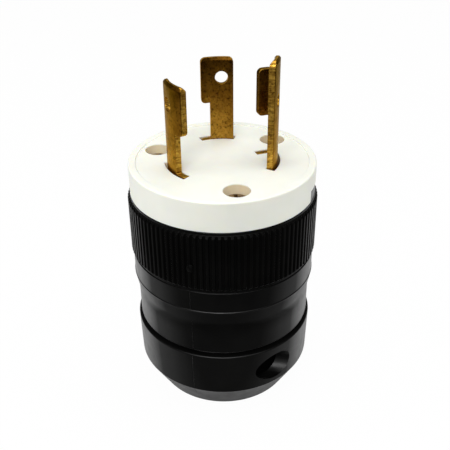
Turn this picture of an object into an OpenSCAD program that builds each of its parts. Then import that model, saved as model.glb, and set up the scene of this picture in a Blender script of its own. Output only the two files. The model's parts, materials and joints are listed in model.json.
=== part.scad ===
// Three-blade locking power plug, 30 ampere size, with a screw-closed front and an integral cord clamp.
// Origin at the centre of the flat cord end, +Z along the plug's axis towards the blades.
// Angles are measured about +Z from +X. The clamp's own frame has +X along its screws.

/* [Front moulding] */
// Radius of the white front moulding
face_r = 24; // [23.5:0.1:24.2]
// Height of the front's top rim above the cord end
face_top_z = 66.5; // [64:0.5:72]
// Height of the white skirt's side
skirt_h = 8; // [7.5:0.1:9]
// Thickness of the front's plate
plate_t = 5; // [4.6:0.1:5.4]
// Width of the raised rim round the front
rim_w = 1.9; // [1:0.1:2.4]
// Depth of the shallow recess inside the rim
rim_step = 0.3; // [0.1:0.1:0.6]
// Rounding of the front's outer edge
face_edge_r = 0.5; // [0.2:0.1:0.8]
// Wall of the skirt over the housing's lip
skirt_wall = 1.5; // [1.2:0.1:1.6]

/* [Key] */
// Direction of the key tab's centre
key_a = -6; // [-12:1:0]
// Angular width of the key tab
key_sweep = 36; // [20:1:40]
// Height of the key tab above the skirt's lower edge
key_h = 3; // [2:0.1:3.4]
// Distance of the key tab's face in from the skirt's
key_step = 0.1; // [0.05:0.05:0.2]

/* [Blades] */
// Mean radius of the circle that the blades follow
blade_r = 13.35; // [13:0.05:13.6]
// Thickness of the blade sheet
blade_t = 1.5; // [1.2:0.1:1.7]
// Height of the hot and neutral blades above the front
blade_h = 22.4; // [20:0.1:26]
// Height of the ground blade above the front
ground_h = 27.2; // [23:0.1:28]
// Height of each blade's locking hook above the front
hook_z = 10.3; // [7:0.1:12]
// Angular width of the hot blade's neck
hot_neck_sweep = 26.5; // [26:0.5:30]
// Angular width of the hot blade's hooked part
hot_hook_sweep = 37; // [36:0.5:42]
// Angular width of the neutral and ground blades' necks
neck_sweep = 28.5; // [26:0.5:30]
// Angular width of the neutral blade's hooked part
hook_sweep = 40; // [38:0.5:42]
// Angle from the ground blade's edge to its inward leg
leg_sweep = 48.5; // [46:0.5:49]
// Radius reached by the ground blade's inward leg
leg_in_r = 9.4; // [8.6:0.1:10.4]
// Inner radius of the ground blade's bend
bend_r = 0.8; // [0.5:0.1:1]
// Direction of the clockwise edge of the hot blade
hot_a = 77; // [74:0.5:79]
// Direction of the clockwise edge of the neutral blade
neutral_a = 189.5; // [187:0.5:192]
// Direction of the clockwise edge of the ground blade
ground_a = 331.5; // [330:0.5:332]
// Corner rounding of the blades
blade_corner_r = 1.2; // [0.6:0.1:1.6]
// Corner rounding of the ground blade's tip
ground_corner_r = 2; // [1.2:0.1:2.4]
// Height of the lead-in bevel on the blade tips
bevel_h = 0.8; // [0.4:0.1:1.2]
// Depth of the lead-in bevel on each face
bevel_t = 0.45; // [0.2:0.05:0.5]
// Diameter of the hole in each blade
blade_hole_d = 3.4; // [3:0.1:4.2]
// Height of the hole in each blade above the front
blade_hole_z = 17; // [15:0.1:18.2]

/* [Front screws] */
// Distance of the front screws in from the front's edge
face_screw_inset = 6.2; // [6:0.05:6.4]
// Direction of the first front screw
face_screw_a = -79; // [-81:0.5:-77]
// Number of front screws
face_screw_n = 3; // [3]
// Diameter of a screw recess at the front
recess_d = 6.7; // [6.4:0.1:7]
// Depth of a screw recess
recess_h = 4.2; // [3.8:0.1:5]
// Narrowing of a screw recess towards its floor, across its diameter
recess_draft = 0.4; // [0.1:0.1:0.4]
// Diameter of a front screw's head
face_head_d = 5.9; // [5.4:0.1:5.9]
// Height of a front screw's head
face_head_h = 2; // [1.6:0.1:2.4]
// Diameter of a front screw's shank
face_shank_d = 3.4; // [3:0.1:3.6]
// Length of a front screw under its head
face_shank_l = 12; // [9:0.5:13]
// Diameter of the bosses that take the front screws
boss_d = 8.8; // [8.4:0.1:9]
// Length of the housing's bosses
boss_l = 18; // [16:0.5:20]
// Outer diameter of a threaded insert
insert_d = 5.2; // [4.8:0.1:5.6]
// Length of a threaded insert
insert_l = 7; // [5:0.5:8]

/* [Housing] */
// Radius of the cord end's flat face
base_r = 19; // [17.5:0.1:20.5]
// Height of the chamfer round the cord end
base_chamfer_h = 8.4; // [6:0.1:9]
// Radius of the collar at the chamfer
collar_low_r = 23.8; // [23.4:0.1:24]
// Radius of the collar at its top
collar_r = 24.15; // [24:0.05:24.4]
// Height of the collar's top edge
collar_top_z = 20.7; // [19:0.1:21.2]
// Width of the groove above the collar
groove_w = 1.1; // [0.8:0.1:1.6]
// Radius of the groove's floor
groove_r = 22.2; // [22:0.1:22.8]
// Radius of the waist above the groove
waist_r = 23.45; // [23.2:0.05:23.7]
// Height at which the waist starts to widen
waist_top_z = 30.6; // [28:0.1:31.5]
// Height at which the smooth band starts
band_z = 35.2; // [33:0.1:36]
// Radius of the smooth band
band_r = 24.25; // [24.1:0.05:24.4]
// Height of the smooth band's top edge
band_top_z = 41.2; // [40:0.1:42.5]
// Radius of the plain strip at the ends of the ribs
strip_r = 24; // [23.8:0.05:24]
// Height of the plain strip at each end of the ribs
strip_h = 0.7; // [0.4:0.1:1]
// Number of grip ribs
rib_n = 102; // [60:1:110]
// Radius over the ribs
rib_r = 24.7; // [24.5:0.05:24.9]
// Radius between the ribs
rib_root_r = 24.15; // [24.05:0.05:24.2]
// Share of a rib's pitch that its crest takes
rib_crest = 0.38; // [0.3:0.02:0.46]
// Share of a rib's pitch that each flank takes
rib_flank = 0.14; // [0.08:0.02:0.2]
// Thickness of the locating lip inside the skirt
lip_t = 1.5; // [1.4:0.05:1.6]
// Height of the inner floor that carries the cord clamp
floor_z = 8; // [7.6:0.1:8.4]
// Radius of the cord entry
entry_r = 13; // [12:0.1:14]
// Rounding of the cord entry's outer edge
entry_edge_r = 1.5; // [0.8:0.1:2]
// Height of the locating lip inside the skirt
lip_h = 1.8; // [1.2:0.1:2.4]
// Rounding of the housing's outer edges
housing_edge_r = 0.4; // [0.2:0.1:0.5]

/* [Blade carrier] */
// Thickness of the insulating carrier under the front
carrier_t = 8; // [7.5:0.1:8.5]
// Depth of the carrier's pockets for the blade roots
root_h = 3; // [2.6:0.1:3.4]
// Angle by which a blade root reaches under the front at each end
root_grip = 3; // [2:0.5:3.5]
// Diameter of the carrier screw's head
carrier_head_d = 7; // [6:0.1:8]
// Height of the carrier screw's head
carrier_head_h = 2.2; // [1.8:0.1:2.6]
// Diameter of the carrier screw's shank
carrier_shank_d = 3.4; // [3:0.1:3.8]
// Length of the carrier screw under its head
carrier_shank_l = 9; // [8.6:0.1:9.4]

/* [Terminals] */
// Width of a terminal pad
pad_w = 8.6; // [8.4:0.1:9]
// Distance of a terminal pad's outer face in from the blade's own
pad_step = 0.15; // [0.1:0.05:0.3]
// Length of a terminal pad below the carrier
pad_l = 11.5; // [11:0.1:12]
// Side of a square wire plate
wire_plate_w = 8.4; // [7.6:0.1:8.4]
// Thickness of a wire plate
wire_plate_t = 1.4; // [1:0.1:1.6]
// Height of a wire plate's turned lips
wire_lip_h = 0.8; // [0.4:0.1:1]
// Thickness of a wire plate's turned lips
wire_lip_t = 0.8; // [0.5:0.1:1]
// Distance of a terminal screw below the carrier
terminal_drop = 6; // [5.6:0.1:6.4]
// Diameter of a terminal screw's head
terminal_head_d = 6.6; // [6:0.1:6.8]
// Height of a terminal screw's head
terminal_head_h = 2.2; // [1.8:0.1:2.6]
// Diameter of a terminal screw's shank
terminal_shank_d = 4; // [3.4:0.1:4]
// Length of a terminal screw under its head
terminal_shank_l = 6; // [5:0.1:7]

/* [Cord clamp] */
// Direction of the clamp screws, from nut to head
clamp_a = -13; // [-16:1:-10]
// Distance of each clamp screw in from the housing's inner wall
clamp_screw_inset = 5; // [5:0.1:5.4]
// Radius of the access holes for the clamp screws
access_r = 4.2; // [3.8:0.1:4.5]
// Radius of the jaws' cord surface
jaw_cord_r = 9.5; // [8.5:0.1:10]
// Wall of a jaw's arch behind the cord
jaw_arch_t = 3.2; // [2.6:0.1:3.6]
// Half of the gap between the two jaws
jaw_gap = 2; // [1.6:0.1:2.6]
// Thickness of a jaw's ears
jaw_ear_t = 6; // [5.6:0.1:6.2]
// Height of the jaws
jaw_h = 11.8; // [10:0.1:12]
// Depth of the grip ridges on the jaws
ridge_d = 0.8; // [0.4:0.1:1]
// Diameter of a clamp screw's head
clamp_head_d = 6.8; // [6:0.1:7]
// Height of a clamp screw's head
clamp_head_h = 2.4; // [2:0.1:2.8]
// Diameter of a clamp screw's shank
clamp_shank_d = 3.8; // [3.4:0.1:3.8]
// Length of a clamp screw under its head
clamp_shank_l = 17.5; // [16.6:0.1:17.8]
// Side of a square clamp nut
clamp_nut_w = 5.8; // [5.4:0.1:5.8]
// Thickness of a clamp nut
clamp_nut_t = 2.6; // [2.2:0.1:3]
// Thickness of the rubber dust shield over the jaws
shield_t = 1.6; // [1.2:0.1:2]

/* [Clearances] */
// Gap between two mouldings that slide together
fit_gap = 0.3; // [0.2:0.05:0.4]
// Gap between the housing's lip and the skirt round it
lip_gap = 0.2; // [0.15:0.05:0.3]
// Gap between the front and the housing's key tab
key_gap = 0.15; // [0.1:0.05:0.3]
// Gap inside a slot behind each blade, towards the axis
slot_in_gap = 0.2; // [0.1:0.05:0.3]
// Gap on each side of the ground blade's leg
leg_gap = 0.4; // [0.4:0.05:0.5]
// Gap inside a slot outside each blade
slot_out_gap = 0.7; // [0.4:0.05:0.8]
// Angle of free play at each end of a slot
slot_end_gap = 1.6; // [1.5:0.1:1.8]
// Angle of free play at each end of a blade root in the carrier
root_end_gap = 2; // [1.8:0.1:2.4]
// Gap round a screw's shank in a clearance hole
shank_gap = 0.25; // [0.15:0.05:0.3]
// Gap round a thread, an insert or a nut
thread_gap = 0.05; // [0.03:0.01:0.1]

/* [Hidden] */
$fn = 96;
eps = 0.01;
round_steps = 5;
// Angle by which a cut runs past the part of a blade that it leaves
sheet_room = 8;
// Room for a screw's end beyond its insert
screw_room = 4;
// Bevel at a screw's end, and the share of its head that is domed
screw_point = 0.4;
dome_share = 0.35;

skirt_z = face_top_z - skirt_h;
face_z = face_top_z - rim_step;
plate_z = face_top_z - plate_t;
skirt_in_r = face_r - skirt_wall;
lip_r = skirt_in_r - lip_gap;
cavity_r = lip_r - lip_t;
key_r = face_r - key_step;
face_screw_pcr = face_r - face_screw_inset;
clamp_screw_y = cavity_r - clamp_screw_inset;
blade_in_r = blade_r - blade_t / 2;
blade_out_r = blade_r + blade_t / 2;
carrier_z = plate_z - carrier_t;
root_z = plate_z - root_h;
pad_out_r = blade_out_r - pad_step;
// The ground blade's bend turns about this point of the leg's frame, tangent to the sheet
bend_y = blade_t / 2 + bend_r;
bend_a = asin(bend_y / (blade_in_r - bend_r));
bend_x = (blade_in_r - bend_r) * cos(bend_a);
bend_lap = 1;
// The bend is a little thicker than the sheet, and its leg a little lower
bend_swell = 0.05;
leg_step = 0.1;
leg_lap = 0.2;
// Each blade's clockwise edge, neck and whole sheet as angles
hot = [hot_a, hot_neck_sweep, hot_hook_sweep];
neutral = [neutral_a, neck_sweep, hook_sweep];
ground = [ground_a, neck_sweep, leg_sweep];
terminal_z = carrier_z - terminal_drop;
pad_z = carrier_z - pad_l;
shank_z = terminal_z + wire_plate_w / 2 + fit_gap;
recess_z = face_top_z - recess_h;
clamp_z = floor_z + jaw_h / 2;
shield_z = floor_z + jaw_h;
ear_x = jaw_gap + jaw_ear_t;
rib_z = band_top_z + strip_h;
rib_top_z = skirt_z - strip_h;

// Points of an arc in a plane, from angle a1 to angle a2
function arc(x, y, r, a1, a2) =
  [for (i = [0 : round_steps]) let (a = a1 + (a2 - a1) * i / round_steps) [x + r * cos(a), y + r * sin(a)]];

// Copies at each front screw
module at_face_screws() {
  for (i = [0 : face_screw_n - 1])
    rotate([0, 0, face_screw_a + i * 360 / face_screw_n])
      translate([face_screw_pcr, 0, 0]) children();
}

// A ring sector from angle a1 to angle a2
module sector(r1, r2, z1, z2, a1, a2) {
  rotate([0, 0, a1])
    rotate_extrude(angle = a2 - a1)
      translate([r1, z1]) square([r2 - r1, z2 - z1]);
}

// A screw along +Z with its head's seat at z = 0 and a cross recess in its domed head
module screw(head_d, head_h, shank_d, shank_l) {
  slot_w = head_d * 0.16;
  slot_l = head_d * 0.62;
  dome = head_h * dome_share;
  difference() {
    rotate_extrude()
      polygon(concat(
        [[0, -shank_l], [shank_d / 2 - screw_point, -shank_l], [shank_d / 2, screw_point - shank_l],
         [shank_d / 2, 0],
         [head_d / 2, 0], [head_d / 2, head_h - dome]],
        [for (i = [1 : 4]) [head_d / 2 * cos(i * 22.5), head_h - dome + dome * sin(i * 22.5)]]));
    for (a = [0, 90])
      rotate([0, 0, a])
        translate([-slot_l / 2, -slot_w / 2, head_h * 0.45]) cube([slot_l, slot_w, head_h]);
  }
}

// ---- blades ----

// Turns a piece from +X to the middle of a blade's neck
module at_neck(b) {
  rotate([0, 0, b[0] + b[1] / 2]) children();
}

// Place of an angle on the blade circle, across a plane square to the direction mid
function across(a, mid) = blade_r * sin(a - mid);

// Flat outline of a whole blade: shank, root, the part in the front's slot, neck and hook.
// Heights are above the front's recess, and sweep is the angle that the sheet spans.
module blade_outline(neck, sweep, over, tip_h, hook_top, tip_r) {
  mid = sweep / 2;
  s0 = across(0, mid);
  s1 = across(neck, mid);
  s2 = across(sweep + over, mid);
  grip_0 = across(-root_grip, mid);
  grip_2 = across(sweep + over + root_grip, mid);
  shank_low = shank_z - face_z;
  root_low = root_z - face_z;
  root_top = plate_z - face_z;
  c = blade_corner_r;
  polygon(concat(
    [[s0, shank_low], [s1, shank_low], [s1, root_low], [grip_2, root_low], [grip_2, root_top],
     [s2, root_top], [s2, 0], [s1, 0], [s1, hook_z]],
    arc(s2 - c, hook_z + c, c, -90, 0),
    arc(s2 - c, hook_top - c, c, 0, 90),
    hook_top < tip_h ? concat([[s1, hook_top]], arc(s1 - tip_r, tip_h - tip_r, tip_r, 0, 90)) : [],
    arc(s0 + tip_r, tip_h - tip_r, tip_r, 90, 180),
    [[s0, root_top], [grip_0, root_top], [grip_0, root_low], [s0, root_low]]));
}

// A blade's curved sheet cut to its outline, with its flat terminal pad.
// A bent blade's sheet stops square just inside its bend.
module blade_sheet(b, sweep, bent, tip_h, hook_top, tip_r) {
  over = bent ? sheet_room : 0;
  tip_z = face_z + tip_h;
  intersection() {
    rotate([0, 0, b[0] - sheet_room])
      rotate_extrude(angle = sweep + (bent ? 1 : 2) * sheet_room)
        polygon([[blade_in_r, shank_z - 1], [blade_out_r, shank_z - 1], [blade_out_r, tip_z - bevel_h],
          [blade_out_r - bevel_t, tip_z], [blade_in_r + bevel_t, tip_z], [blade_in_r, tip_z - bevel_h]]);
    rotate([0, 0, b[0] + sweep / 2])
      translate([blade_out_r + 1, 0, face_z]) rotate([90, 0, -90])
        linear_extrude(blade_out_r / 2) mirror([1, 0])
          blade_outline(b[1], sweep, over, tip_h, hook_top, tip_r);
  }
  at_neck(b)
    translate([pad_out_r - blade_t, -pad_w / 2, pad_z]) cube([blade_t, pad_w, pad_l]);
}

// Holes across a blade: the one near its tip and the tapped one in its pad
module blade_holes(b) {
  at_neck(b) {
    translate([0, 0, face_z + blade_hole_z]) rotate([0, 90, 0]) cylinder(h = face_r, d = blade_hole_d);
    translate([0, 0, terminal_z]) rotate([0, 90, 0])
      cylinder(h = face_r, d = terminal_shank_d + 2 * thread_gap);
  }
}

module straight_blade(b) {
  color([0.62, 0.47, 0.2])
    difference() {
      blade_sheet(b, b[2], false, blade_h, blade_h, blade_corner_r);
      blade_holes(b);
    }
}

// The bend and the inward leg of the ground blade, between two heights
module ground_leg(z1, z2) {
  c = blade_corner_r;
  rotate([0, 0, ground_a + leg_sweep]) {
    translate([bend_x, -bend_y, z1]) rotate([0, 0, -bend_a])
      rotate_extrude(angle = 90 + bend_a)
        translate([bend_r - bend_swell, 0]) square([blade_t + 2 * bend_swell, z2 - z1]);
    translate([0, blade_t / 2, 0]) rotate([90, 0, 0])
      linear_extrude(blade_t)
        polygon(concat([[bend_x + leg_lap, z1], [bend_x + leg_lap, z2]],
          arc(leg_in_r + c, z2 - c, c, 90, 180), arc(leg_in_r + c, z1 + c, c, 180, 270)));
  }
}

module ground_blade() {
  color([0.62, 0.47, 0.2])
    difference() {
      union() {
        blade_sheet(ground, leg_sweep - bend_a + bend_lap, true, ground_h, blade_h, ground_corner_r);
        ground_leg(face_z + hook_z + leg_step, face_z + blade_h - leg_step);
        ground_leg(root_z + leg_step, face_z - leg_step);
      }
      blade_holes(ground);
    }
}

// ---- front moulding ----

// Slot for a blade's sheet, cut through the front
module blade_slot(b) {
  sector(blade_in_r - slot_in_gap, blade_out_r + slot_out_gap, plate_z - 1, face_top_z + 1,
    b[0] - slot_end_gap, b[0] + b[2] + slot_end_gap);
}

// Slot for the ground blade's leg
module leg_slot(z1, z2) {
  rotate([0, 0, ground_a + leg_sweep])
    translate([leg_in_r - slot_in_gap, -blade_t / 2 - leg_gap, z1])
      cube([blade_r - leg_in_r, blade_t + 2 * leg_gap, z2 - z1]);
}

module face() {
  e = face_edge_r;
  color([0.93, 0.93, 0.9])
    difference() {
      union() {
        rotate_extrude()
          polygon(concat(
            [[0, plate_z], [skirt_in_r, plate_z], [skirt_in_r, skirt_z], [face_r, skirt_z]],
            arc(face_r - e, face_top_z - e, e, 0, 90),
            [[face_r - rim_w, face_top_z], [face_r - rim_w, face_z], [0, face_z]]));
        at_face_screws() translate([0, 0, skirt_z]) cylinder(h = plate_z - skirt_z + 1, d = boss_d);
      }
      at_face_screws() {
        translate([0, 0, recess_z])
          cylinder(h = recess_h + eps, d1 = recess_d - recess_draft, d2 = recess_d);
        translate([0, 0, skirt_z - 1]) cylinder(h = recess_z - skirt_z + 2, d = face_shank_d + 2 * shank_gap);
      }
      for (b = [hot, neutral, ground]) blade_slot(b);
      leg_slot(plate_z - 1, face_top_z + 1);
      sector(lip_r, face_r + 1, skirt_z - 1, skirt_z + key_h + key_gap,
        key_a - key_sweep / 2 - key_gap, key_a + key_sweep / 2 + key_gap);
      translate([0, 0, plate_z - 1]) cylinder(h = pilot_l + 1, d = carrier_shank_d + 2 * thread_gap);
    }
}

// Depth of the blind hole that takes the carrier screw
pilot_l = carrier_shank_l - (carrier_t - carrier_head_h) + 0.3;

// ---- blade carrier ----

module blade_carrier() {
  color([0.16, 0.16, 0.17])
    difference() {
      translate([0, 0, carrier_z]) cylinder(h = carrier_t, r = cavity_r - 2 * fit_gap);
      at_face_screws() translate([0, 0, carrier_z - 1]) cylinder(h = carrier_t + 2, d = boss_d + 2 * fit_gap);
      for (b = [hot, neutral, ground]) {
        sector(blade_in_r - slot_in_gap, blade_out_r + slot_in_gap, root_z, plate_z + 1,
          b[0] - root_grip - root_end_gap, b[0] + b[2] + root_grip + root_end_gap);
        sector(blade_in_r - shank_gap, blade_out_r + shank_gap, carrier_z - 1, root_z + 1,
          b[0] - slot_end_gap, b[0] + b[1] + slot_end_gap);
      }
      leg_slot(root_z, plate_z + 1);
      translate([0, 0, carrier_z - 1]) cylinder(h = carrier_t + 2, d = carrier_shank_d + 2 * shank_gap);
      translate([0, 0, carrier_z - 1]) cylinder(h = carrier_head_h + 1, d = carrier_head_d + 2 * shank_gap);
    }
}

module carrier_screw() {
  color([0.7, 0.7, 0.72])
    translate([0, 0, carrier_z + carrier_head_h]) rotate([180, 0, 0])
      screw(carrier_head_d, carrier_head_h, carrier_shank_d, carrier_shank_l);
}

// ---- housing ----

// Outline of the ribbed grip, seen along the axis
module rib_outline() {
  pitch = 360 / rib_n;
  half_crest = pitch * rib_crest / 2;
  half_foot = half_crest + pitch * rib_flank;
  polygon([for (i = [0 : rib_n - 1], p = [[-half_foot, rib_root_r], [-half_crest, rib_r],
      [half_crest, rib_r], [half_foot, rib_root_r]])
    p[1] * [cos(i * pitch + p[0]), sin(i * pitch + p[0])]]);
}

// The ribs, with bevelled ends
module ribs() {
  bevel = rib_r - strip_r;
  intersection() {
    translate([0, 0, rib_z]) linear_extrude(rib_top_z - rib_z) rib_outline();
    rotate_extrude()
      polygon([[cavity_r + 1, rib_z - eps], [strip_r, rib_z - eps], [rib_r + eps, rib_z + bevel],
        [rib_r + eps, rib_top_z - bevel], [strip_r, rib_top_z + eps], [cavity_r + 1, rib_top_z + eps]]);
  }
}

module housing() {
  edge = housing_edge_r;
  groove_z = collar_top_z + groove_w;
  color([0.07, 0.07, 0.075])
    difference() {
      union() {
        rotate_extrude()
          polygon(concat(
            arc(entry_r + entry_edge_r, entry_edge_r, entry_edge_r, 180, 270),
            arc(base_r - edge, edge, edge, -90, -30),
            [[collar_low_r, base_chamfer_h]],
            arc(collar_r - edge, collar_top_z - edge, edge, 0, 90),
            [[groove_r, collar_top_z], [groove_r, groove_z], [waist_r, groove_z],
             [waist_r, waist_top_z], [band_r, band_z], [band_r, band_top_z - edge / 2],
             [strip_r, band_top_z], [strip_r, skirt_z], [lip_r, skirt_z], [lip_r, skirt_z + lip_h],
             [cavity_r, skirt_z + lip_h], [cavity_r, floor_z], [entry_r, floor_z]]));
        ribs();
        sector(cavity_r + fit_gap, key_r, skirt_z - 1, skirt_z + key_h,
          key_a - key_sweep / 2, key_a + key_sweep / 2);
        at_face_screws() translate([0, 0, skirt_z - boss_l]) cylinder(h = boss_l, d = boss_d);
      }
      at_face_screws() {
        translate([0, 0, skirt_z]) cylinder(h = key_h + 1, d = boss_d + 2 * fit_gap);
        translate([0, 0, skirt_z - insert_l]) cylinder(h = insert_l + 1, d = insert_d + 2 * thread_gap);
        translate([0, 0, skirt_z - insert_l - screw_room])
          cylinder(h = screw_room + 1, d = face_shank_d + 2 * shank_gap);
      }
      rotate([0, 0, clamp_a])
        for (side = [-1, 1])
          translate([ear_x - 1, side * clamp_screw_y, clamp_z]) rotate([0, 90, 0])
            cylinder(h = collar_r, r = access_r);
    }
}

module face_screws() {
  color([0.45, 0.33, 0.16])
    at_face_screws() translate([0, 0, recess_z])
      screw(face_head_d, face_head_h, face_shank_d, face_shank_l);
}

module housing_inserts() {
  color([0.72, 0.56, 0.28])
    at_face_screws() translate([0, 0, skirt_z - insert_l])
      difference() {
        cylinder(h = insert_l - fit_gap, d = insert_d);
        translate([0, 0, -1]) cylinder(h = insert_l + 2, d = face_shank_d + 2 * thread_gap);
      }
}

// ---- terminals ----

// Moves a piece from its own frame, +Z outwards, to the outer face of a blade's terminal pad
module at_terminal(b) {
  at_neck(b) translate([pad_out_r, 0, terminal_z]) rotate([0, 90, 0]) children();
}

module terminal_screw(b) {
  at_terminal(b) translate([0, 0, wire_plate_t])
    screw(terminal_head_d, terminal_head_h, terminal_shank_d, terminal_shank_l);
}

// Square wire plate, with its upper and lower edges turned outwards
module wire_plate(b) {
  w = wire_plate_w;
  color([0.66, 0.52, 0.26])
    at_terminal(b)
      difference() {
        union() {
          translate([-w / 2, -w / 2, 0]) cube([w, w, wire_plate_t]);
          for (x = [-w / 2, w / 2 - wire_lip_t])
            translate([x, -w / 2, 0]) cube([wire_lip_t, w, wire_plate_t + wire_lip_h]);
        }
        translate([0, 0, -1]) cylinder(h = wire_plate_t + 2, d = terminal_shank_d + 2 * shank_gap);
      }
}

// ---- cord clamp ----

// One jaw in the clamp's frame, on the side of +X
module jaw() {
  difference() {
    translate([0, 0, floor_z]) linear_extrude(jaw_h)
      difference() {
        intersection() {
          circle(r = cavity_r - fit_gap);
          union() {
            translate([jaw_gap, -cavity_r]) square([jaw_ear_t, 2 * cavity_r]);
            intersection() {
              circle(r = jaw_cord_r + jaw_arch_t);
              translate([jaw_gap, -cavity_r]) square(2 * cavity_r);
            }
          }
        }
        circle(r = jaw_cord_r);
      }
    for (side = [-1, 1])
      translate([0, side * clamp_screw_y, clamp_z]) rotate([0, 90, 0])
        cylinder(h = cavity_r, d = clamp_shank_d + 2 * shank_gap);
  }
  for (k = [1 : 3])
    translate([0, 0, floor_z + k * jaw_h / 4])
      intersection() {
        rotate_extrude()
          polygon([[jaw_cord_r + 0.2, -ridge_d], [jaw_cord_r + 0.2, ridge_d], [jaw_cord_r - ridge_d, 0]]);
        translate([jaw_gap, -cavity_r, -ridge_d]) cube([cavity_r, 2 * cavity_r, 2 * ridge_d]);
      }
}

module moving_cord_jaw() {
  color([0.1, 0.1, 0.1]) rotate([0, 0, clamp_a]) jaw();
}

module fixed_cord_jaw() {
  pocket = clamp_nut_w + 2 * thread_gap;
  color([0.1, 0.1, 0.1]) rotate([0, 0, clamp_a])
    difference() {
      mirror([1, 0, 0]) jaw();
      for (side = [-1, 1])
        translate([-ear_x - 1, side * clamp_screw_y - pocket / 2, clamp_z - pocket / 2])
          cube([clamp_nut_t + 1, pocket, pocket]);
    }
}

module clamp_screws() {
  color([0.62, 0.62, 0.64]) rotate([0, 0, clamp_a])
    for (side = [-1, 1])
      translate([ear_x, side * clamp_screw_y, clamp_z]) rotate([0, 90, 0])
        screw(clamp_head_d, clamp_head_h, clamp_shank_d, clamp_shank_l);
}

module clamp_nuts() {
  w = clamp_nut_w;
  color([0.62, 0.62, 0.64]) rotate([0, 0, clamp_a])
    for (side = [-1, 1])
      translate([-ear_x, side * clamp_screw_y, clamp_z])
        difference() {
          translate([0, -w / 2, -w / 2]) cube([clamp_nut_t, w, w]);
          translate([-1, 0, 0]) rotate([0, 90, 0])
            cylinder(h = clamp_nut_t + 2, d = clamp_shank_d + 2 * thread_gap);
        }
}

module dust_shield() {
  color([0.13, 0.13, 0.13])
    translate([0, 0, shield_z])
      difference() {
        cylinder(h = shield_t, r = cavity_r - fit_gap);
        translate([0, 0, -1]) cylinder(h = shield_t + 2, r = jaw_cord_r);
      }
}

face();
straight_blade(hot);  // hot_blade
straight_blade(neutral);  // neutral_blade
ground_blade();
blade_carrier();
carrier_screw();
housing();
face_screws();
housing_inserts();
color([0.72, 0.56, 0.28]) terminal_screw(hot);  // hot_terminal_screw
color([0.75, 0.75, 0.76]) terminal_screw(neutral);  // neutral_terminal_screw
color([0.2, 0.45, 0.25]) terminal_screw(ground);  // ground_terminal_screw
wire_plate(hot);  // hot_wire_plate
wire_plate(neutral);  // neutral_wire_plate
wire_plate(ground);  // ground_wire_plate
fixed_cord_jaw();
moving_cord_jaw();
clamp_screws();
clamp_nuts();
dust_shield();
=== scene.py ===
import json
import math
import random

import bmesh
import bpy
from mathutils import Matrix, Vector


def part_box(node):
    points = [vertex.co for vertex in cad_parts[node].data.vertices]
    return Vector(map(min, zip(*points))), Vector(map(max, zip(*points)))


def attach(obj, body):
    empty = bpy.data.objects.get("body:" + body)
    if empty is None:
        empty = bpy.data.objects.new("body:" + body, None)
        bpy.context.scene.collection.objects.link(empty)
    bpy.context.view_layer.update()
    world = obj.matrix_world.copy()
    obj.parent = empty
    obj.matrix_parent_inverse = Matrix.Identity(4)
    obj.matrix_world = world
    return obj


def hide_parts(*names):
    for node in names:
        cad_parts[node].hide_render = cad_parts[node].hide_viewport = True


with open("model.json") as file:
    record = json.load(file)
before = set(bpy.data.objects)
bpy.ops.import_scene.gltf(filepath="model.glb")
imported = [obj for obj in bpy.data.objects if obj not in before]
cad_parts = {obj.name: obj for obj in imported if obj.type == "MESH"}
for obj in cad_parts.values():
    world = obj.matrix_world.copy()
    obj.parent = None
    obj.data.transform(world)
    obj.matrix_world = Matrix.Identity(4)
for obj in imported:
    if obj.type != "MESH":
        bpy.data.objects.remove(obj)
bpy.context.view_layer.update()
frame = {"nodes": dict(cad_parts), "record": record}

scene = bpy.context.scene
nodes = frame["nodes"]
MM = 0.001


def node_z(name):
    """Lowest and highest height of a CAD node, in millimetres."""
    lo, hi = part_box(name)
    return lo.z / MM, hi.z / MM


# ---------------- sizes, in mm and degrees, as in the CAD source
# white front, its screws and the key tab
skirt_z, face_top_z = node_z("face")
face_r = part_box("face")[1].y / MM
rim_w, rim_step, face_edge_r, plate_t, skirt_wall, lip_gap, lip_t = 1.9, 0.3, 0.5, 5.0, 1.5, 0.2, 1.5
face_z = face_top_z - rim_step
plate_z = face_top_z - plate_t
skirt_in_r = face_r - skirt_wall
lip_r = skirt_in_r - lip_gap
cavity_r = lip_r - lip_t
screw_inset, screw_a, screw_n, shank_hole_d = 6.2, -79.0, 3, 3.9
screw_pcr = face_r - screw_inset
recess_d, recess_h, recess_draft = 6.7, 4.2, 0.4
boss_d, boss_l, insert_d, insert_l, screw_room = 8.8, 18.0, 5.3, 7.0, 4.0
key_a, key_sweep, key_h, key_gap, key_step = -6.0, 36.0, 3.0, 0.15, 0.1
# blades and their slots
blade_r, blade_t = 13.35, 1.5
blade_in_r, blade_out_r = blade_r - blade_t / 2, blade_r + blade_t / 2
blade_h = node_z("hot_blade")[1] - face_z
ground_h = node_z("ground_blade")[1] - face_z
hook_z, neck_sweep, hook_sweep, leg_sweep = 10.3, 28.5, 40.0, 48.5
hot_neck_sweep, hot_hook_sweep = 26.5, 37.0
leg_in_r, bend_r, corner_r, ground_corner_r, leg_gap = 9.4, 0.8, 1.2, 2.0, 0.4
hot_a, neutral_a, ground_a = 77.0, 189.5, 331.5
bevel_h, bevel_t, hole_d, hole_z = 0.8, 0.45, 3.4, 17.0
slot_in_gap, slot_out_gap, slot_end_gap = 0.2, 0.7, 1.6
root_h, carrier_t, root_grip, fit_gap = 3.0, 8.0, 3.0, 0.3
root_z, carrier_z = plate_z - root_h, plate_z - carrier_t
pad_w, pad_l, pad_step, pad_hole_d, terminal_drop, wire_plate_w = 8.6, 11.5, 0.15, 4.1, 6.0, 8.4
terminal_z = carrier_z - terminal_drop
shank_z = terminal_z + wire_plate_w / 2 + fit_gap
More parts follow.
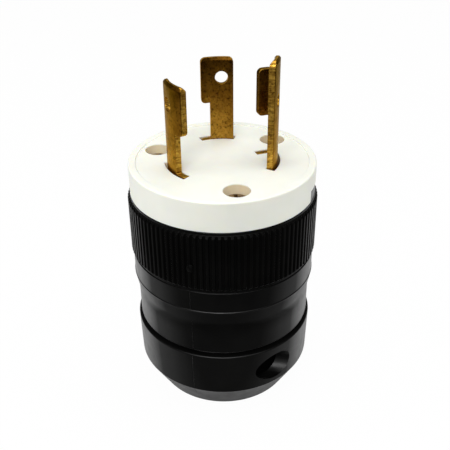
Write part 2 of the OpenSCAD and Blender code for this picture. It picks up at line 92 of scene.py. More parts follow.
# housing, from the cord end upwards
entry_r, entry_edge_r, floor_z, lip_h = 13.0, 1.5, 8.0, 1.8
clamp_a, clamp_inset, access_r, clamp_z = -13.0, 5.0, 4.2, 13.9
clamp_y = cavity_r - clamp_inset
base_r, chamfer_h, collar_low_r, collar_r, collar_top_z = 19.0, 8.4, 23.8, 24.15, 20.7
groove_w, groove_r, waist_r, waist_top_z = 1.1, 22.2, 23.45, 30.6
band_z, band_r, band_top_z = 35.2, 24.25, 41.2
# marks of the mould: the bead where the taper ends, the parting line and the gate
bead_h, bead_t = 0.3, 0.12
seam_a, seam_w, seam_t, gate_z = -110.0, 0.16, 0.05, 48.3
# grip ribs
strip_r, strip_h, rib_n, rib_r, rib_root_r = 24.0, 0.7, 102, 24.7, 24.15
rib_z, rib_top_z = band_top_z + strip_h, skirt_z - strip_h


# ---------------- mesh tools
def arc(x, y, r, a1, a2, n=6):
    """Points of an arc about (x, y), from angle a1 to angle a2."""
    out = []
    for i in range(n + 1):
        a = math.radians(a1 + (a2 - a1) * i / n)
        out.append((x + r * math.cos(a), y + r * math.sin(a)))
    return out


def rounded(points, n=4, closed=True):
    """Points (x, y, radius) as a polyline with each corner rounded by its radius."""
    out = []
    count = len(points)
    for i, (x, y, r) in enumerate(points):
        if r <= 0 or (not closed and i in (0, count - 1)):
            out.append((x, y))
            continue
        p, q, s = Vector((x, y)), Vector(points[i - 1][:2]), Vector(points[(i + 1) % count][:2])
        a, b = (q - p), (s - p)
        la, lb = a.length, b.length
        a, b = a / la, b / lb
        half = math.acos(max(-1.0, min(1.0, a.dot(b)))) / 2
        if half > math.radians(89):
            out.append((x, y))
            continue
        d = min(r / math.tan(half), la * 0.48, lb * 0.48)
        r = d * math.tan(half)
        centre = p + (a + b).normalized() * (r / math.sin(half))
        start, end = p + a * d - centre, p + b * d - centre
        turn = start.angle_signed(end)
        for k in range(n + 1):
            v = Vector(start)
            v.rotate(Matrix.Rotation(-turn * k / n, 2))
            out.append((centre.x + v.x, centre.y + v.y))
    return out


def new_object(name, verts, faces):
    mesh = bpy.data.meshes.new(name)
    mesh.from_pydata([(x * MM, y * MM, z * MM) for x, y, z in verts], [], faces)
    mesh.update()
    obj = bpy.data.objects.new(name, mesh)
    scene.collection.objects.link(obj)
    return obj


def fix_normals(obj):
    """Turns every face outwards."""
    bm = bmesh.new()
    bm.from_mesh(obj.data)
    bmesh.ops.recalc_face_normals(bm, faces=bm.faces)
    bm.to_mesh(obj.data)
    bm.free()
    return obj


def lathe(name, profile, steps, closed=True):
    """Turns a profile of (r, z) round the axis. An open profile starts and ends with a flat cap."""
    verts, faces = [], []
    count = len(profile)
    for i in range(steps):
        a = 2 * math.pi * i / steps
        verts += [(r * math.cos(a), r * math.sin(a), z) for r, z in profile]
    for i in range(steps):
        j = (i + 1) % steps
        for k in range(count if closed else count - 1):
            m = (k + 1) % count
            faces.append((i * count + k, j * count + k, j * count + m, i * count + m))
    if not closed:
        faces.append([i * count for i in range(steps)])
        faces.append([i * count + count - 1 for i in range(steps)])
    return fix_normals(new_object(name, verts, faces))


def prism(name, outline, z1, z2, outline_top=None):
    """An outline raised from z1 to z2, which may end in another outline of as many points."""
    n = len(outline)
    top = outline_top or outline
    verts = [(x, y, z1) for x, y in outline] + [(x, y, z2) for x, y in top]
    faces = [list(range(n)), list(range(n, 2 * n))]
    faces += [(i, (i + 1) % n, n + (i + 1) % n, n + i) for i in range(n)]
    return fix_normals(new_object(name, verts, faces))


def sector_outline(r1, r2, a1, a2, step=1.5, corner=0.0):
    """Outline of a ring sector, with its four corners rounded where corner says so."""
    n = max(2, round((a2 - a1) / step))
    pts = arc(0, 0, r2, a1, a2, n) + arc(0, 0, r1, a2, a1, n)
    if corner:
        m = len(pts)
        pts = rounded([(x, y, corner if i in (0, n, n + 1, m - 1) else 0) for i, (x, y) in enumerate(pts)], 3)
    return pts


def circle(r, n=64):
    return arc(0, 0, r, 0, 360 - 360 / n, n - 1)


def placed(obj, matrix):
    obj.data.transform(matrix)
    return obj


def turned(angle):
    return Matrix.Rotation(math.radians(angle), 4, "Z")


def shifted(x, y, z):
    return Matrix.Translation((x * MM, y * MM, z * MM))


def apply_modifiers(obj):
    dg = bpy.context.evaluated_depsgraph_get()
    mesh = bpy.data.meshes.new_from_object(obj.evaluated_get(dg), preserve_all_data_layers=True, depsgraph=dg)
    obj.modifiers.clear()
    old = obj.data
    obj.data = mesh
    bpy.data.meshes.remove(old)
    return obj


def cut(obj, tool, operation="DIFFERENCE"):
    m = obj.modifiers.new("cut", "BOOLEAN")
    m.operation, m.solver, m.object = operation, "EXACT", tool
    apply_modifiers(obj)
    bpy.data.objects.remove(tool)
    return obj


def join(name, objs):
    """One object from several, each in the shared frame."""
    bm = bmesh.new()
    for o in objs:
        bm.from_mesh(o.data)
        bpy.data.objects.remove(o)
    mesh = bpy.data.meshes.new(name)
    bm.to_mesh(mesh)
    bm.free()
    obj = bpy.data.objects.new(name, mesh)
    scene.collection.objects.link(obj)
    return obj


def bevel(obj, width, segments=2, angle=50):
    m = obj.modifiers.new("bevel", "BEVEL")
    m.width, m.segments, m.limit_method = width * MM, segments, "ANGLE"
    m.angle_limit = math.radians(angle)
    m.miter_outer = "MITER_ARC"
    return apply_modifiers(obj)


def clean(obj, distance=0.002):
    bm = bmesh.new()
    bm.from_mesh(obj.data)
    bmesh.ops.remove_doubles(bm, verts=bm.verts, dist=distance * MM)
    bmesh.ops.dissolve_degenerate(bm, edges=bm.edges, dist=distance * MM)
    bm.to_mesh(obj.data)
    bm.free()
    return obj


def shade(obj, angle=40):
    """Smooth shading, with the edges over this angle kept sharp."""
    bm = bmesh.new()
    bm.from_mesh(obj.data)
    limit = math.radians(angle)
    for f in bm.faces:
        f.smooth = True
    for e in bm.edges:
        e.smooth = len(e.link_faces) == 2 and e.calc_face_angle(0) < limit
    bm.to_mesh(obj.data)
    bm.free()
    return obj


def weighted(obj):
    m = obj.modifiers.new("normals", "WEIGHTED_NORMAL")
    m.keep_sharp, m.weight = True, 60
    return apply_modifiers(obj)


# ---------------- material tools
class Nodes:
    """A small helper round a material's node tree."""

    def __init__(self, name):
        self.material = bpy.data.materials.new(name)
        self.material.use_nodes = True
        self.tree = self.material.node_tree
        self.tree.nodes.clear()
        self.out = self.add("ShaderNodeOutputMaterial")
        self.shader = self.add("ShaderNodeBsdfPrincipled")
        self.link(self.shader.outputs["BSDF"], self.out.inputs["Surface"])
        self.place = self.add("ShaderNodeTexCoord").outputs["Object"]

    def add(self, kind, **values):
        n = self.tree.nodes.new(kind)
        for key, value in values.items():
            setattr(n, key, value)
        return n

    def link(self, a, b):
        self.tree.links.new(a, b)

    def mapped(self, scale, location=(0, 0, 0), rotation=(0, 0, 0)):
        m = self.add("ShaderNodeMapping")
        m.inputs["Scale"].default_value = scale
        m.inputs["Location"].default_value = location
        m.inputs["Rotation"].default_value = rotation
        self.link(self.place, m.inputs["Vector"])
        return m.outputs["Vector"]

    def height(self):
        """Height above the floor, in metres."""
        n = self.add("ShaderNodeSeparateXYZ")
        self.link(self.place, n.inputs[0])
        return n.outputs["Z"]

    def vector(self, operation, a, b=None, output="Vector"):
        n = self.add("ShaderNodeVectorMath", operation=operation)
        self.link(a, n.inputs[0])
        if isinstance(b, tuple):
            n.inputs[1].default_value = b
        elif b:
            self.link(b, n.inputs[1])
        return n.outputs[output]

    def across(self):
        """The point's place across the plug's axis, as a vector in metres."""
        return self.vector("MULTIPLY", self.place, (1, 1, 0))

    def radius(self):
        """Distance from the plug's axis, in metres."""
        return self.vector("LENGTH", self.across(), output="Value")

    def cut_edge(self):
        """1 on the sheared edges of a blade, half that on the ground blade's leg, and 0 on the faces."""
        outward = self.vector("NORMALIZE", self.across())
        normal = self.add("ShaderNodeNewGeometry").outputs["Normal"]
        dot = self.vector("DOT_PRODUCT", outward, normal, "Value")
        side = self.ramp(self.math("ABSOLUTE", dot), [(0.45, (1, 1, 1)), (0.75, (0, 0, 0))])
        sheet = self.math("GREATER_THAN", self.radius(), (blade_in_r - 0.1) * MM)
        return self.math("MULTIPLY", side, self.math("MULTIPLY_ADD", sheet, 0.5, 0.5))

    def noise(self, scale, detail=3.0, roughness=0.5, vector=None, distortion=0.0):
        n = self.add("ShaderNodeTexNoise")
        n.inputs["Scale"].default_value = scale
        n.inputs["Detail"].default_value = detail
        n.inputs["Roughness"].default_value = roughness
        n.inputs["Distortion"].default_value = distortion
        self.link(vector or self.place, n.inputs["Vector"])
        return n.outputs["Fac"]

    def ramp(self, fac, stops, kind="LINEAR"):
        r = self.add("ShaderNodeValToRGB")
        r.color_ramp.interpolation = kind
        while len(r.color_ramp.elements) < len(stops):
            r.color_ramp.elements.new(0.5)
        for e, (at, colour) in zip(r.color_ramp.elements, stops):
            e.position = at
            e.color = (*colour, 1) if len(colour) == 3 else colour
        self.link(fac, r.inputs["Fac"])
        return r.outputs["Color"]

    def grey(self, fac, low, high, at=(0.3, 0.7)):
        return self.ramp(fac, [(at[0], (low,) * 3), (at[1], (high,) * 3)])

    def mix(self, fac, a, b, blend="MIX"):
        m = self.add("ShaderNodeMix", data_type="RGBA", blend_type=blend)
        if isinstance(fac, (int, float)):
            m.inputs["Factor"].default_value = fac
        else:
            self.link(fac, m.inputs["Factor"])
        for index, value in ((6, a), (7, b)):
            if isinstance(value, tuple):
                m.inputs[index].default_value = (*value, 1)
            else:
                self.link(value, m.inputs[index])
        return m.outputs[2]

    def math(self, op, a, b=0.0, c=0.0, clamp=False):
        m = self.add("ShaderNodeMath", operation=op, use_clamp=clamp)
        for socket, value in zip(m.inputs, (a, b, c)):
            if isinstance(value, (int, float)):
                socket.default_value = value
            else:
                self.link(value, socket)
        return m.outputs[0]

    def bump(self, height, strength, distance, normal=None):
        b = self.add("ShaderNodeBump")
        b.inputs["Strength"].default_value = strength
        b.inputs["Distance"].default_value = distance
        self.link(height, b.inputs["Height"])
        if normal:
            self.link(normal, b.inputs["Normal"])
        return b.outputs["Normal"]

    def set(self, **values):
        for key, value in values.items():
            socket = self.shader.inputs[key.replace("_", " ")]
            if isinstance(value, (int, float)):
                socket.default_value = value
            elif isinstance(value, tuple):
                socket.default_value = (*value, 1) if len(value) == 3 else value
            else:
                self.link(value, socket)
        return self


def moulded(name, dark, light, rough, peel=0.04, specular=0.5):
    """Moulded plastic: slow colour drift, fine orange peel, and roughness that varies a little."""
    m = Nodes(name)
    m.drift = m.noise(90.0, 4.0, 0.55)
    m.colour = m.ramp(m.drift, [(0.32, dark), (0.68, light)])
    m.set(Base_Color=m.colour,
          Roughness=m.grey(m.noise(420.0, 4.0, 0.6), rough - 0.05, rough + 0.06),
          Specular_IOR_Level=specular, Normal=m.bump(m.noise(2600.0, 3.0, 0.6), peel, 0.00004))
    return m


def glossy_black(name, dark, light, rough, peel):
    """Black nylon whose gloss grows from face-on to grazing; its chamfer, taper and ribs are duller."""
    m = moulded(name, dark, light, rough, peel)
    sheen = [(0.05, 0.3), (0.12, 0.05), (0.2, 0.02), (0.32, 0.02), (0.45, 0.09), (0.56, 0.09), (0.74, 0.8)]
    dulling = [(chamfer_h - 1, 0.45), (chamfer_h, 1), (waist_top_z - 4, 1), (waist_top_z, 0.35),
               (band_z - 0.3, 0.35), (band_z, 1), (rib_z - 0.3, 1), (rib_z, 0.16),
               (rib_top_z, 0.16), (rib_top_z + 0.3, 1)]
    facing = m.add("ShaderNodeLayerWeight").outputs["Facing"]
    gloss = m.ramp(facing, [(at, (level,) * 3) for at, level in sheen])
    height = m.math("DIVIDE", m.height(), face_z * MM)
    matt = m.ramp(height, [(z / face_z, (level,) * 3) for z, level in dulling])
    m.set(Specular_IOR_Level=m.math("MULTIPLY", gloss, matt))
    return m


def soft_white(name, dark, light, rough, peel, specular):
    """White nylon that light enters a little; the walls of its holes get a painted warm shade, darker and
    yellower than the face.
    """
    m = moulded(name, dark, light, rough, peel, specular)
    inner = m.math("LESS_THAN", m.radius(), (face_r - rim_w) * MM)
    deep = m.math("LESS_THAN", m.height(), (face_z - 0.25) * MM)
    # painted shade: the walls inside the rim and below the face are tinted a darker tan, standing in for
    # shade and warm bounced light in the holes
    painted_hole_shade = m.ramp(m.drift, [(0.3, (0.7, 0.6, 0.42)), (0.7, (0.8, 0.72, 0.54))])
    m.set(Base_Color=m.mix(m.math("MULTIPLY", inner, deep), m.colour, painted_hole_shade),
          Subsurface_Weight=0.3, Subsurface_Scale=0.0012)
    m.shader.inputs["Subsurface Radius"].default_value = (1.0, 0.75, 0.35)
    return m


def brushed(name, dark, light, rough, across=(900.0, 900.0, 900.0)):
    """Rolled or machined metal: fine lines one way, cloudy tarnish, and small specks."""
    m = Nodes(name)
    cloud = m.noise(170.0, 5.0, 0.6, distortion=0.4)
    specks = m.ramp(m.noise(1500.0, 4.0, 0.65),
                    [(0.34, (0.2, 0.16, 0.12)), (0.45, (0.75, 0.72, 0.68)), (0.6, (1, 1, 1))])
    m.colour = m.mix(0.9, m.ramp(cloud, [(0.3, dark), (0.62, light)]), specks, "MULTIPLY")
    lines = m.noise(1.0, 3.0, 0.6, m.mapped(across))
    m.set(Base_Color=m.colour, Metallic=1.0,
          Roughness=m.grey(m.noise(600.0, 4.0, 0.65), rough - 0.08, rough + 0.1),
          Normal=m.bump(lines, 0.12, 0.00004))
    return m


def tip_shaded_brass(name, dark, light, rough, across, foot, middle, tip):
    """Blade brass with painted shade that darkens its faces from foot to tip, and bright sheared edges."""
    m = brushed(name, dark, light, rough, across)
    # painted shade: the faces darken with height from the foot colour to the tip colour, standing in for the
    # dark reflections on the upper blade
    low, high = (face_z + 1) * MM, (face_z + blade_h) * MM
    rise = m.math("DIVIDE", m.math("SUBTRACT", m.height(), low), high - low)
    ragged = m.math("MULTIPLY", m.math("SUBTRACT", m.noise(260.0, 3.0), 0.5), 0.5)
    painted_tip_shade = m.ramp(m.math("ADD", rise, ragged), [(0.0, foot), (0.5, middle), (1.0, tip)])
    shear = m.noise(1.0, 4.0, 0.7, m.mapped((300.0, 300.0, 5000.0)))
    clean_cut = m.ramp(shear, [(0.33, (0.3, 0.22, 0.12)), (0.6, (1.0, 0.98, 0.9))])
    m.set(Base_Color=m.mix(1.0, m.colour, m.mix(m.cut_edge(), painted_tip_shade, clean_cut), "MULTIPLY"),
          Specular_Tint=(1.0, 0.8, 0.5))
    return m


SLOTS = {
    "white_nylon": soft_white("white_nylon", (0.80, 0.81, 0.735), (0.84, 0.85, 0.775), 0.38, 0.05, 0.45),
    "black_nylon": glossy_black("black_nylon", (0.0022, 0.0022, 0.0021), (0.0038, 0.0038, 0.0036),
                                0.33, 0.05),
    "carrier_plastic": moulded("carrier_plastic", (0.012, 0.012, 0.013), (0.02, 0.02, 0.021), 0.5),
    # the foot, middle and tip colours are the painted shade along the blade's height
    "blade_brass": tip_shaded_brass("blade_brass", (0.4, 0.215, 0.03), (0.78, 0.48, 0.085), 0.33,
                             across=(220.0, 220.0, 9000.0), foot=(0.6, 0.52, 0.4),
                             middle=(0.3, 0.23, 0.14), tip=(0.1, 0.07, 0.04)),
    "screw_brass": brushed("screw_brass", (0.22, 0.14, 0.07), (0.5, 0.36, 0.17), 0.4),
    "terminal_brass": brushed("terminal_brass", (0.5, 0.36, 0.15), (0.7, 0.52, 0.25), 0.35),
    "nickel": brushed("nickel", (0.48, 0.47, 0.45), (0.62, 0.61, 0.59), 0.3),
    "green_screw": brushed("green_screw", (0.03, 0.12, 0.05), (0.06, 0.2, 0.09), 0.4),
    "zinc_steel": brushed("zinc_steel", (0.42, 0.42, 0.43), (0.58, 0.58, 0.6), 0.33),
    "shield_rubber": moulded("shield_rubber", (0.012, 0.012, 0.012), (0.022, 0.022, 0.022), 0.65, peel=0.2),
}


def dress(obj, slot, node, angle=40):
    """The slot's material, shading and body for a finished piece that stands for a CAD node, which is hidden.
    """
    weighted(shade(obj, angle))
    obj.data.materials.clear()
    obj.data.materials.append(SLOTS[slot].material)
    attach(obj, "root")
    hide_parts(node)
    return obj


def at_screw(i):
    """Place of a front screw's axis."""
    return turned(screw_a + 360 / screw_n * i) @ shifted(screw_pcr, 0, 0)


# ---------------- white front moulding
def make_face():
    profile = rounded([
        (1.0, plate_z, 0), (skirt_in_r, plate_z, 0.3), (skirt_in_r, skirt_z, 0.15), (face_r, skirt_z, 0.2),
        (face_r, face_top_z, face_edge_r), (face_r - rim_w, face_top_z, 0.12), (face_r - rim_w, face_z, 0.12),
        (1.0, face_z, 0)], 5, closed=False)
    body = lathe("front", profile, 240, closed=False)
    for i in range(screw_n):
        cut(body, placed(prism("boss", circle(boss_d / 2), skirt_z, plate_z + 1), at_screw(i)), "UNION")
    for i in range(screw_n):
        top, low = circle(recess_d / 2), circle(recess_d / 2 - recess_draft / 2)
        cut(body, placed(prism("recess", low, face_top_z - recess_h, face_top_z + 0.01, top), at_screw(i)))
        shank = circle(shank_hole_d / 2, 40)
        cut(body, placed(prism("shank_hole", shank, skirt_z - 1, plate_z + 2), at_screw(i)))
    for a0, sweep in ((hot_a, hot_hook_sweep), (neutral_a, hook_sweep), (ground_a, leg_sweep)):
        outline = sector_outline(blade_in_r - slot_in_gap, blade_out_r + slot_out_gap,
                                 a0 - slot_end_gap, a0 + sweep + slot_end_gap, corner=0.25)
        cut(body, prism("slot", outline, plate_z - 1, face_top_z + 1))
    half = blade_t / 2 + leg_gap
    near, far = leg_in_r - slot_in_gap, blade_r - slot_in_gap
    leg = rounded([(near, -half, 0.25), (far, -half, 0), (far, half, 0), (near, half, 0.25)], 3)
    cut(body, placed(prism("leg_slot", leg, plate_z - 1, face_top_z + 1), turned(ground_a + leg_sweep)))
    half = key_sweep / 2 + key_gap
    notch = sector_outline(lip_r, face_r + 1, key_a - half, key_a + half)
    cut(body, prism("notch", notch, skirt_z - 1, skirt_z + key_h + key_gap))
    clean(body)
    bevel(body, 0.12, 2, 60)
    return dress(body, "white_nylon", "face", 50)


# ---------------- black housing
def make_housing():
    groove_z = collar_top_z + groove_w
    profile = rounded([
        (entry_r, floor_z, 0.3), (entry_r, 0, entry_edge_r), (base_r, 0, 0.5), (collar_low_r, chamfer_h, 0.5),
        (collar_r, collar_top_z, 0.35), (groove_r, collar_top_z, 0.15), (groove_r, groove_z, 0.15),
        (waist_r, groove_z, 0.2), (waist_r, waist_top_z, 12.0), (band_r + bead_t, band_z, 0.05),
        (band_r + bead_t, band_z + bead_h / 2, 0.05), (band_r, band_z + bead_h, 0.05),
        (band_r, band_top_z, 0.2), (strip_r, band_top_z, 0.05), (strip_r, skirt_z, 0.2),
        (lip_r, skirt_z, 0.05), (lip_r, skirt_z + lip_h, 0.2),
        (cavity_r, skirt_z + lip_h, 0.2), (cavity_r, floor_z, 0.6)], 5)
    body = lathe("shell", profile, 256)
    for side in (-1, 1):
        tool = prism("access", circle(access_r, 72), 7, 30)
        tool.data.transform(Matrix.Rotation(math.radians(90), 4, "Y"))
        cut(body, placed(tool, turned(clamp_a) @ shifted(0, side * clamp_y, clamp_z)))
    pieces = [body, make_ribs(), make_key(), make_seam(seam_a), make_seam(seam_a + 180), make_gate()]
    seat_z = skirt_z - insert_l
    for i in range(screw_n):
        boss = prism("boss", circle(boss_d / 2), skirt_z - boss_l, skirt_z)
        cut(boss, prism("insert_seat", circle(insert_d / 2, 40), seat_z, skirt_z + 1))
        cut(boss, prism("tail", circle(shank_hole_d / 2, 40), seat_z - screw_room, seat_z + 1))
        bevel(boss, 0.15, 2)
        pieces.append(placed(boss, at_screw(i)))
    return dress(join("housing_shell", pieces), "black_nylon", "housing", 40)


def make_ribs():
    """A ring of rounded ribs whose ends slope down to the plain strips."""
    low, high = rib_z, rib_top_z
    rise = rib_r - strip_r
    steps = (0.2, 0.4, 0.6, 0.8, 0.95, 1.1)
    levels = [(low - 0.1, -0.3), (low, 0.0)] + [(low + rise * k, rise * k) for k in steps]
    levels += [(high - rise * k, rise * k) for k in reversed(steps)] + [(high, 0.0), (high + 0.1, -0.3)]
    pitch = 360 / rib_n
    # across one rib, in pitches, and how high it stands there
    shape = [(-0.5, 0), (-0.34, 0), (-0.30, 0.12), (-0.23, 0.82), (-0.18, 0.97), (0, 1),
             (0.18, 0.97), (0.23, 0.82), (0.30, 0.12), (0.34, 0)]
    ring = []
    for i in range(rib_n):
        ring += [((i + at) * pitch, rib_root_r + (rib_r - rib_root_r) * h) for at, h in shape]
    n = len(ring)
    verts, faces = [], []
    for z, reach in levels:
        for a, r in ring:
            r = min(r, strip_r + reach)
            verts.append((r * math.cos(math.radians(a)), r * math.sin(math.radians(a)), z))
    for k in range(len(levels) - 1):
        for i in range(n):
            j = (i + 1) % n
            faces.append((k * n + i, k * n + j, (k + 1) * n + j, (k + 1) * n + i))
    return fix_normals(new_object("ribs", verts, faces))


def make_seam(angle):
    """The fine ridge that the mould's parting line leaves from the cord end to the band."""
    groove_z = collar_top_z + groove_w
    runs = [[(base_r - 0.3, 0.05), (base_r + 0.2, 0.5), (collar_low_r - 0.1, chamfer_h - 0.2),
             (collar_low_r, chamfer_h + 0.2), (collar_r, collar_top_z - 0.3)],
            [(waist_r, groove_z + 0.2), (waist_r, waist_top_z - 0.4), (waist_r + 0.06, waist_top_z + 0.4),
             (band_r - 0.04, band_z - 0.05)],
            [(band_r, band_z + 2 * bead_h), (band_r, band_top_z - 0.2)]]
    section = [(-seam_w / 2, -0.03), (0, seam_t), (seam_w / 2, -0.03), (0, -0.2)]
    verts, faces = [], []
    for run in runs:
        first = len(verts)
        for r, z in run:
            for side, out in section:
                a = math.radians(angle) + side / r
                verts.append(((r + out) * math.cos(a), (r + out) * math.sin(a), z))
        for k in range(len(run) - 1):
            at = first + 4 * k
            faces += [(at + i, at + (i + 1) % 4, at + 4 + (i + 1) % 4, at + 4 + i) for i in range(4)]
        faces += [[first + i for i in range(4)], [first + 4 * (len(run) - 1) + i for i in range(4)]]
    return fix_normals(new_object("seam", verts, faces))


def make_gate():
    """The torn stub left where the moulding was filled, on the seam's line among the ribs."""
    draw = random.Random(5)
    bm = bmesh.new()
    bmesh.ops.create_icosphere(bm, subdivisions=4, radius=1.0)
    bumps = [(Vector([draw.uniform(-1, 1) for _ in range(3)]), draw.uniform(-0.25, 0.25)) for _ in range(24)]
    for v in bm.verts:
        swell = 1 + sum(h * math.exp(-((v.co - at).length / 0.28) ** 2) for at, h in bumps)
        v.co = Vector((v.co.x * 0.42, v.co.y * 0.85, v.co.z * 1.1)) * swell * MM
    mesh = bpy.data.meshes.new("gate")
    bm.to_mesh(mesh)
    bm.free()
    obj = bpy.data.objects.new("gate", mesh)
    scene.collection.objects.link(obj)
    return placed(obj, turned(seam_a + 1) @ shifted(rib_r - 0.15, 0, gate_z))


def make_key():
    """The tab that fills the notch in the skirt."""
    half = key_sweep / 2
    outline = sector_outline(cavity_r + fit_gap, face_r - key_step, key_a - half, key_a + half, 1.0)
    return bevel(prism("key", outline, skirt_z - 1, skirt_z + key_h), 0.25, 3)


# ---------------- blades
def flat_blade(name, outline, tip_z, xs, holes):
    """A flat plate of the outline (x, z), with its hole and rounded edges, sliced so that it can be bent."""
    plate = prism(name, outline, -blade_t / 2, blade_t / 2)
    for x, z in holes:
        tool = prism("hole", circle(hole_d / 2, 48), -3, 3)
        cut(plate, placed(tool, shifted(x, z, 0)))
    clean(plate)
    bevel(plate, 0.16, 3, 60)
    bm = bmesh.new()
    bm.from_mesh(plate.data)
    for x in xs:
        geom = bm.verts[:] + bm.edges[:] + bm.faces[:]
        bmesh.ops.bisect_plane(bm, geom=geom, dist=1e-7, plane_co=(x * MM, 0, 0), plane_no=(1, 0, 0))
    for k in range(5):
        z = tip_z - bevel_h + 0.25 * (k - 1)
        geom = bm.verts[:] + bm.edges[:] + bm.faces[:]
        bmesh.ops.bisect_plane(bm, geom=geom, dist=1e-7, plane_co=(0, z * MM, 0), plane_no=(0, 1, 0))
    bmesh.ops.triangulate(bm, faces=[f for f in bm.faces if len(f.verts) > 4])
    bm.to_mesh(plate.data)
    bm.free()
    return plate


def thinned(t, z, tip_z):
    """Thickness offset with the lead-in bevel near the tip."""
    over = max(0.0, (z - (tip_z - bevel_h)) / bevel_h)
    return t * (1 - over * bevel_t / (blade_t / 2))


def terminal_pad(a0, neck):
    pad = prism("pad", [(-blade_t / 2, -pad_w / 2), (blade_t / 2, -pad_w / 2), (blade_t / 2, pad_w / 2),
                        (-blade_t / 2, pad_w / 2)], carrier_z - pad_l, carrier_z)
    tool = prism("tapped", circle(pad_hole_d / 2, 40), -3, 3)
    tool.data.transform(Matrix.Rotation(math.radians(90), 4, "Y"))
    cut(pad, placed(tool, shifted(0, 0, terminal_z)))
    bevel(pad, 0.15, 2)
    return placed(pad, turned(a0 + neck / 2) @ shifted(blade_out_r - pad_step - blade_t / 2, 0, 0))


def make_straight_blade(name, node, a0, neck, hook):
    mid = hook / 2
    tip_z = face_z + blade_h

    def across(a):
        return blade_r * math.sin(math.radians(a - mid))

    s0, s1, s2 = across(0), across(neck), across(hook)
    g0, g2 = across(-root_grip), across(hook + root_grip)
    c = corner_r
    outline = [(s0, shank_z), (s1, shank_z), (s1, root_z), (g2, root_z), (g2, plate_z), (s2, plate_z),
               (s2, face_z), (s1, face_z), (s1, face_z + hook_z)]
    outline += arc(s2 - c, face_z + hook_z + c, c, -90, 0) + arc(s2 - c, tip_z - c, c, 0, 90)
    outline += arc(s0 + c, tip_z - c, c, 90, 180) + [(s0, plate_z), (g0, plate_z), (g0, root_z), (s0, root_z)]
    xs = [g0 + (g2 - g0) * k / 24 for k in range(1, 24)]
    plate = flat_blade(name, outline, tip_z, xs, [(across(neck / 2), face_z + hole_z)])
    for v in plate.data.vertices:
        x, z, t = v.co.x / MM, v.co.y / MM, v.co.z / MM
        r = blade_r + thinned(t, z, tip_z)
        y = math.sqrt(r * r - x * x)
        a = math.radians(a0 + mid)
        # in the blade's frame, x runs anticlockwise and y outwards
        v.co = ((y * math.cos(a) - x * math.sin(a)) * MM, (y * math.sin(a) + x * math.cos(a)) * MM, z * MM)
    fix_normals(plate)
    return dress(join(name, [plate, terminal_pad(a0, neck)]), "blade_brass", node, 40)


def make_ground_blade(name):
    bend_y = blade_t / 2 + bend_r
    bend_a = math.degrees(math.asin(bend_y / (blade_in_r - bend_r)))
    bend_x = (blade_in_r - bend_r) * math.cos(math.radians(bend_a))
    mid_r = bend_r + blade_t / 2
    arc_end = math.radians(leg_sweep - bend_a) * blade_r
    bend_len = math.radians(90 + bend_a) * mid_r
    s_end = arc_end + bend_len + bend_x - leg_in_r
    s1 = math.radians(neck_sweep) * blade_r
    grip = math.radians(root_grip) * blade_r
    tip_z, hook_top = face_z + ground_h, face_z + blade_h
    c = corner_r
    outline = [(0, shank_z), (s1, shank_z), (s1, root_z)]
    outline += [(s_end, root_z + 0.1), (s_end, face_z - 0.1), (s1, face_z), (s1, face_z + hook_z)]
    outline += arc(s_end - c, face_z + hook_z + c, c, -90, 0) + arc(s_end - c, hook_top - c, c, 0, 90)
    t = ground_corner_r
    outline += [(s1, hook_top)] + arc(s1 - t, tip_z - t, t, 0, 90) + arc(t, tip_z - t, t, 90, 180)
    outline += [(0, plate_z), (-grip, plate_z), (-grip, root_z), (0, root_z)]
    xs = [-grip + (arc_end + grip) * k / 22 for k in range(1, 23)]
    xs += [arc_end + bend_len * k / 12 for k in range(1, 13)]
    plate = flat_blade(name, outline, tip_z, xs, [(s1 / 2, face_z + hole_z)])
    # the near edge is sheared square to the neck, and the rest is square to the sheet
    mid = (leg_sweep - bend_a) / 2
    for v in plate.data.vertices:
        s, z, t = v.co.x / MM, v.co.y / MM, v.co.z / MM
        t = thinned(t, z, tip_z)
        if s <= arc_end:
            phi = math.degrees(s / blade_r)
            keep = min(1.0, max(0.0, (mid - phi) / mid + 0.15))
            lean = -keep * math.tan(math.radians(phi - mid)) * t / blade_r
            a = math.radians(ground_a + phi) + lean
            x, y = (blade_r + t) * math.cos(a), (blade_r + t) * math.sin(a)
        else:
            if s <= arc_end + bend_len:
                w = math.radians(-bend_a) + (s - arc_end) / mid_r
                x, y = bend_x + (mid_r + t) * math.cos(w), -bend_y + (mid_r + t) * math.sin(w)
            else:
                x, y = bend_x - (s - arc_end - bend_len), t
            a = math.radians(ground_a + leg_sweep)
            x, y = x * math.cos(a) - y * math.sin(a), x * math.sin(a) + y * math.cos(a)
        v.co = (x * MM, y * MM, z * MM)
    fix_normals(plate)
    return dress(join(name, [plate, terminal_pad(ground_a, neck_sweep)]), "blade_brass", "ground_blade", 40)


make_face()
make_housing()
make_straight_blade("hot_blade_formed", "hot_blade", hot_a, hot_neck_sweep, hot_hook_sweep)
make_straight_blade("neutral_blade_formed", "neutral_blade", neutral_a, neck_sweep, hook_sweep)
make_ground_blade("ground_blade_formed")

# CAD nodes that keep their shape get their slot's detailed material
for sub in frame["record"]["subparts"]:
    obj = nodes[sub["node"]]
    if not obj.hide_render:
        obj.data.materials.clear()
        obj.data.materials.append(SLOTS[sub["material_slot"]].material)
        shade(obj, 35)


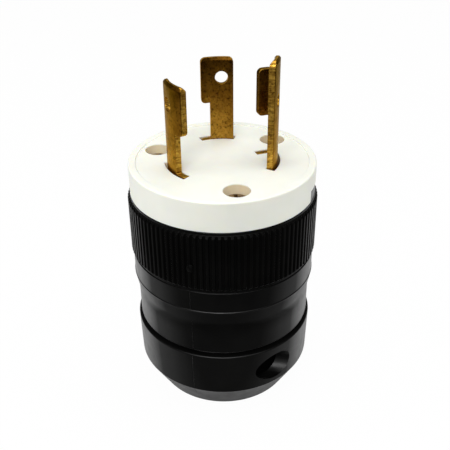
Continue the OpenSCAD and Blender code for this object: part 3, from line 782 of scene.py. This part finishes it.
# ---------------- floor, light and camera
def make_floor():
    """Pale paper that ends just in front of the object and looks white to the camera."""
    size, near = 2.5, -0.065
    corners = [(-size, near, 0), (size, near, 0), (size, size, 0), (-size, size, 0)]
    mesh = bpy.data.meshes.new("floor")
    mesh.from_pydata(corners, [], [(0, 1, 2, 3)])
    floor = bpy.data.objects.new("floor", mesh)
    scene.collection.objects.link(floor)
    floor.location.z = -0.00002
    m = Nodes("floor_paper")
    paper = m.ramp(m.noise(30.0, 3.0), [(0.3, (0.78, 0.78, 0.78)), (0.7, (0.8, 0.8, 0.8))])
    m.set(Base_Color=paper, Roughness=0.9, Specular_IOR_Level=0.1)
    glow = m.add("ShaderNodeEmission")
    glow.inputs["Strength"].default_value = 1.0
    paths = m.add("ShaderNodeLightPath")
    share = m.math("MULTIPLY", paths.outputs["Is Camera Ray"], 0.97)
    blend = m.add("ShaderNodeMixShader")
    m.link(share, blend.inputs["Fac"])
    m.link(m.shader.outputs["BSDF"], blend.inputs[1])
    m.link(glow.outputs["Emission"], blend.inputs[2])
    m.link(blend.outputs["Shader"], m.out.inputs["Surface"])
    mesh.materials.append(m.material)


def make_world(level):
    world = bpy.data.worlds.new("studio")
    world.use_nodes = True
    tree = world.node_tree
    tree.nodes.clear()
    out = tree.nodes.new("ShaderNodeOutputWorld")
    back = tree.nodes.new("ShaderNodeBackground")
    back.inputs["Color"].default_value = (1, 1, 1, 1)
    back.inputs["Strength"].default_value = level
    # the camera sees white beyond the table's edge, and the object is lit by the level
    seen = tree.nodes.new("ShaderNodeBackground")
    seen.inputs["Color"].default_value = (1, 1, 1, 1)
    seen.inputs["Strength"].default_value = 1.0
    paths = tree.nodes.new("ShaderNodeLightPath")
    blend = tree.nodes.new("ShaderNodeMixShader")
    tree.links.new(paths.outputs["Is Camera Ray"], blend.inputs["Fac"])
    tree.links.new(back.outputs["Background"], blend.inputs[1])
    tree.links.new(seen.outputs["Background"], blend.inputs[2])
    tree.links.new(blend.outputs["Shader"], out.inputs["Surface"])
    scene.world = world


def area(name, place, target, size, power):
    light = bpy.data.lights.new(name, "AREA")
    light.shape, light.size, light.size_y, light.energy = "RECTANGLE", size[0], size[1], power
    obj = bpy.data.objects.new(name, light)
    scene.collection.objects.link(obj)
    obj.location = place
    obj.rotation_euler = (Vector(target) - Vector(place)).to_track_quat("-Z", "Y").to_euler()
    return obj


make_floor()
make_world(0.35)
area("overhead", (0.0, 0.05, 0.75), (0, 0, 0.05), (0.6, 0.6), 2.9)
area("front_box", (-0.1, -0.55, 0.5), (0, 0, 0.05), (0.5, 0.35), 3.0)
area("left_box", (-0.6, -0.1, 0.3), (0, 0, 0.05), (0.4, 0.5), 1.0)
area("right_box", (0.6, 0.0, 0.3), (0, 0, 0.05), (0.4, 0.5), 0.85)

camera = bpy.data.cameras.new("camera")
camera.sensor_width, camera.lens = 36.0, 56.0
camera.clip_start, camera.clip_end = 0.01, 20
cam = bpy.data.objects.new("camera", camera)
scene.collection.objects.link(cam)
pitch, roll = math.radians(30.89), math.radians(-0.546)
right, up = Vector((1, 0, 0)), Vector((0, math.sin(pitch), math.cos(pitch)))
ahead = Vector((0, math.cos(pitch), -math.sin(pitch)))
right, up = math.cos(roll) * right + math.sin(roll) * up, math.cos(roll) * up - math.sin(roll) * right
cam.matrix_world = Matrix((
    (right.x, up.x, -ahead.x, 0.00055), (right.y, up.y, -ahead.y, -0.16209),
    (right.z, up.z, -ahead.z, 0.14337), (0, 0, 0, 1)))
scene.camera = cam
scene.view_settings.view_transform = "Standard"
